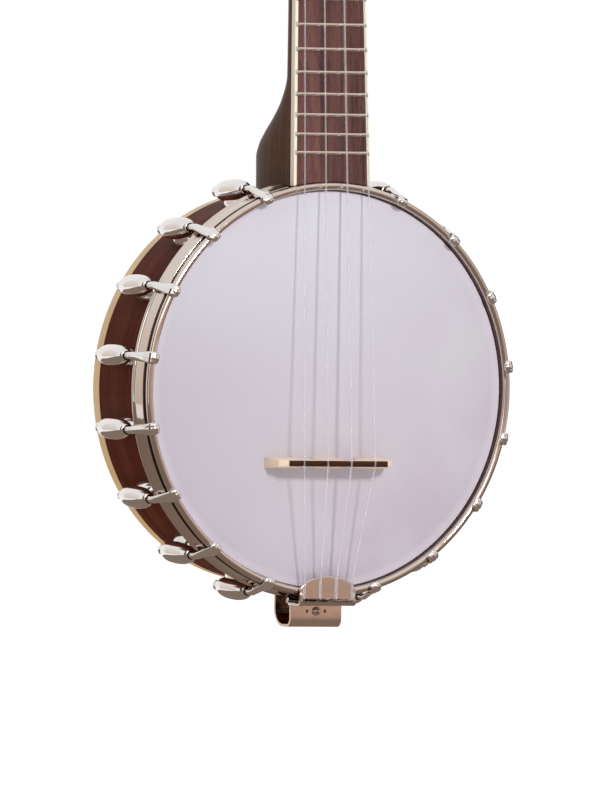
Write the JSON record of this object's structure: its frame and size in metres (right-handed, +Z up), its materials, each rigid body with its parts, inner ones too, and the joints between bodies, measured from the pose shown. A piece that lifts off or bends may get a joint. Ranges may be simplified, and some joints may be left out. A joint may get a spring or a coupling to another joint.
{
  "type": "banjo ukulele",
  "caption": "Small four-string banjo: a skin drum head tensioned by hooks on an open-backed wooden rim, with a fretted neck, geared tuners, a bridge and a tailpiece.",
  "frame": {"origin": "in the headstock just above the string nut, midway across and through it, where a wall hanger's yoke holds the instrument", "axes": "+Z up along the instrument towards the headstock's crown, +Y out of the drum's open back, -Y the way the drum head and the strings face, +X to the right seen from the front"},
  "size_m": [0.2294, 0.0825, 0.5925],
  "materials": {
    "nickel": "polished nickel plate",
    "rim_wood": "stained maple, gloss lacquer",
    "binding": "cream celluloid strip, polished",
    "head_film": "white coated polyester film",
    "neck_wood": "dark stained, satin lacquer",
    "rosewood": "open grain, oiled",
    "bone": "polished",
    "maple": "bare, fine sanded",
    "ebony": "bare, fine sanded",
    "nylon": "clear nylon",
    "pearl": "pearl plastic buttons on nickel shafts"
  },
  "bodies": {
    "body": {"rim": "rim_wood", "rim_binding": "binding", "head": "head_film", "tension_hoop": "nickel", "hook_right_1": "nickel", "hook_right_2": "nickel", "hook_right_3": "nickel", "hook_right_4": "nickel", "hook_right_5": "nickel", "hook_right_6": "nickel", "hook_right_7": "nickel", "hook_right_8": "nickel", "hook_left_1": "nickel", "hook_left_2": "nickel", "hook_left_3": "nickel", "hook_left_4": "nickel", "hook_left_5": "nickel", "hook_left_6": "nickel", "hook_left_7": "nickel", "hook_left_8": "nickel", "shoe_right_1": "nickel", "shoe_right_2": "nickel", "shoe_right_3": "nickel", "shoe_right_4": "nickel", "shoe_right_5": "nickel", "shoe_right_6": "nickel", "shoe_right_7": "nickel", "shoe_right_8": "nickel", "shoe_left_1": "nickel", "shoe_left_2": "nickel", "shoe_left_3": "nickel", "shoe_left_4": "nickel", "shoe_left_5": "nickel", "shoe_left_6": "nickel", "shoe_left_7": "nickel", "shoe_left_8": "nickel", "coordinator_rod": "nickel", "tailpiece_bracket": "nickel", "tailpiece_cover": "nickel", "bridge_base": "maple", "bridge_cap": "ebony", "neck": "neck_wood", "fretboard": "rosewood", "string_nut": "bone", "tuner_housing_lower_left": "nickel", "tuner_housing_lower_right": "nickel", "tuner_housing_upper_left": "nickel", "tuner_housing_upper_right": "nickel", "string_1": "nylon", "string_2": "nylon", "string_3": "nylon", "string_4": "nylon"},
    "key_lower_left": {"tuner_key_lower_left": "pearl"},
    "post_lower_left": {"tuner_post_lower_left": "nickel"},
    "key_lower_right": {"tuner_key_lower_right": "pearl"},
    "post_lower_right": {"tuner_post_lower_right": "nickel"},
    "key_upper_left": {"tuner_key_upper_left": "pearl"},
    "post_upper_left": {"tuner_post_upper_left": "nickel"},
    "key_upper_right": {"tuner_key_upper_right": "pearl"},
    "post_upper_right": {"tuner_post_upper_right": "nickel"}
  },
  "joints": [
    {"name": "key_turn_lower_left", "type": "hinge", "parent": "body", "child": "key_lower_left", "pos_m": [-0.0175, 0.01632, 0.01228], "axis": [1, 0, 0], "continuous": true},
    {"name": "post_turn_lower_left", "type": "hinge", "parent": "body", "child": "post_lower_left", "pos_m": [-0.0175, 0.01844, 0.01968], "axis": [0, 0.9613, -0.2756], "continuous": true},
    {"name": "key_turn_lower_right", "type": "hinge", "parent": "body", "child": "key_lower_right", "pos_m": [0.0175, 0.01632, 0.01228], "axis": [1, 0, 0], "continuous": true},
    {"name": "post_turn_lower_right", "type": "hinge", "parent": "body", "child": "post_lower_right", "pos_m": [0.0175, 0.01844, 0.01968], "axis": [0, 0.9613, -0.2756], "continuous": true},
    {"name": "key_turn_upper_left", "type": "hinge", "parent": "body", "child": "key_upper_left", "pos_m": [-0.0175, 0.02789, 0.05265], "axis": [1, 0, 0], "continuous": true},
    {"name": "post_turn_upper_left", "type": "hinge", "parent": "body", "child": "post_upper_left", "pos_m": [-0.0175, 0.03002, 0.06005], "axis": [0, 0.9613, -0.2756], "continuous": true},
    {"name": "key_turn_upper_right", "type": "hinge", "parent": "body", "child": "key_upper_right", "pos_m": [0.0175, 0.02789, 0.05265], "axis": [1, 0, 0], "continuous": true},
    {"name": "post_turn_upper_right", "type": "hinge", "parent": "body", "child": "post_upper_right", "pos_m": [0.0175, 0.03002, 0.06005], "axis": [0, 0.9613, -0.2756], "continuous": true}
  ],
  "couplings": [
    {"joint": "post_turn_lower_left", "follows": "key_turn_lower_left", "ratio": 0.071429},
    {"joint": "post_turn_lower_right", "follows": "key_turn_lower_right", "ratio": 0.071429},
    {"joint": "post_turn_upper_left", "follows": "key_turn_upper_left", "ratio": 0.071429},
    {"joint": "post_turn_upper_right", "follows": "key_turn_upper_right", "ratio": 0.071429}
  ]
}
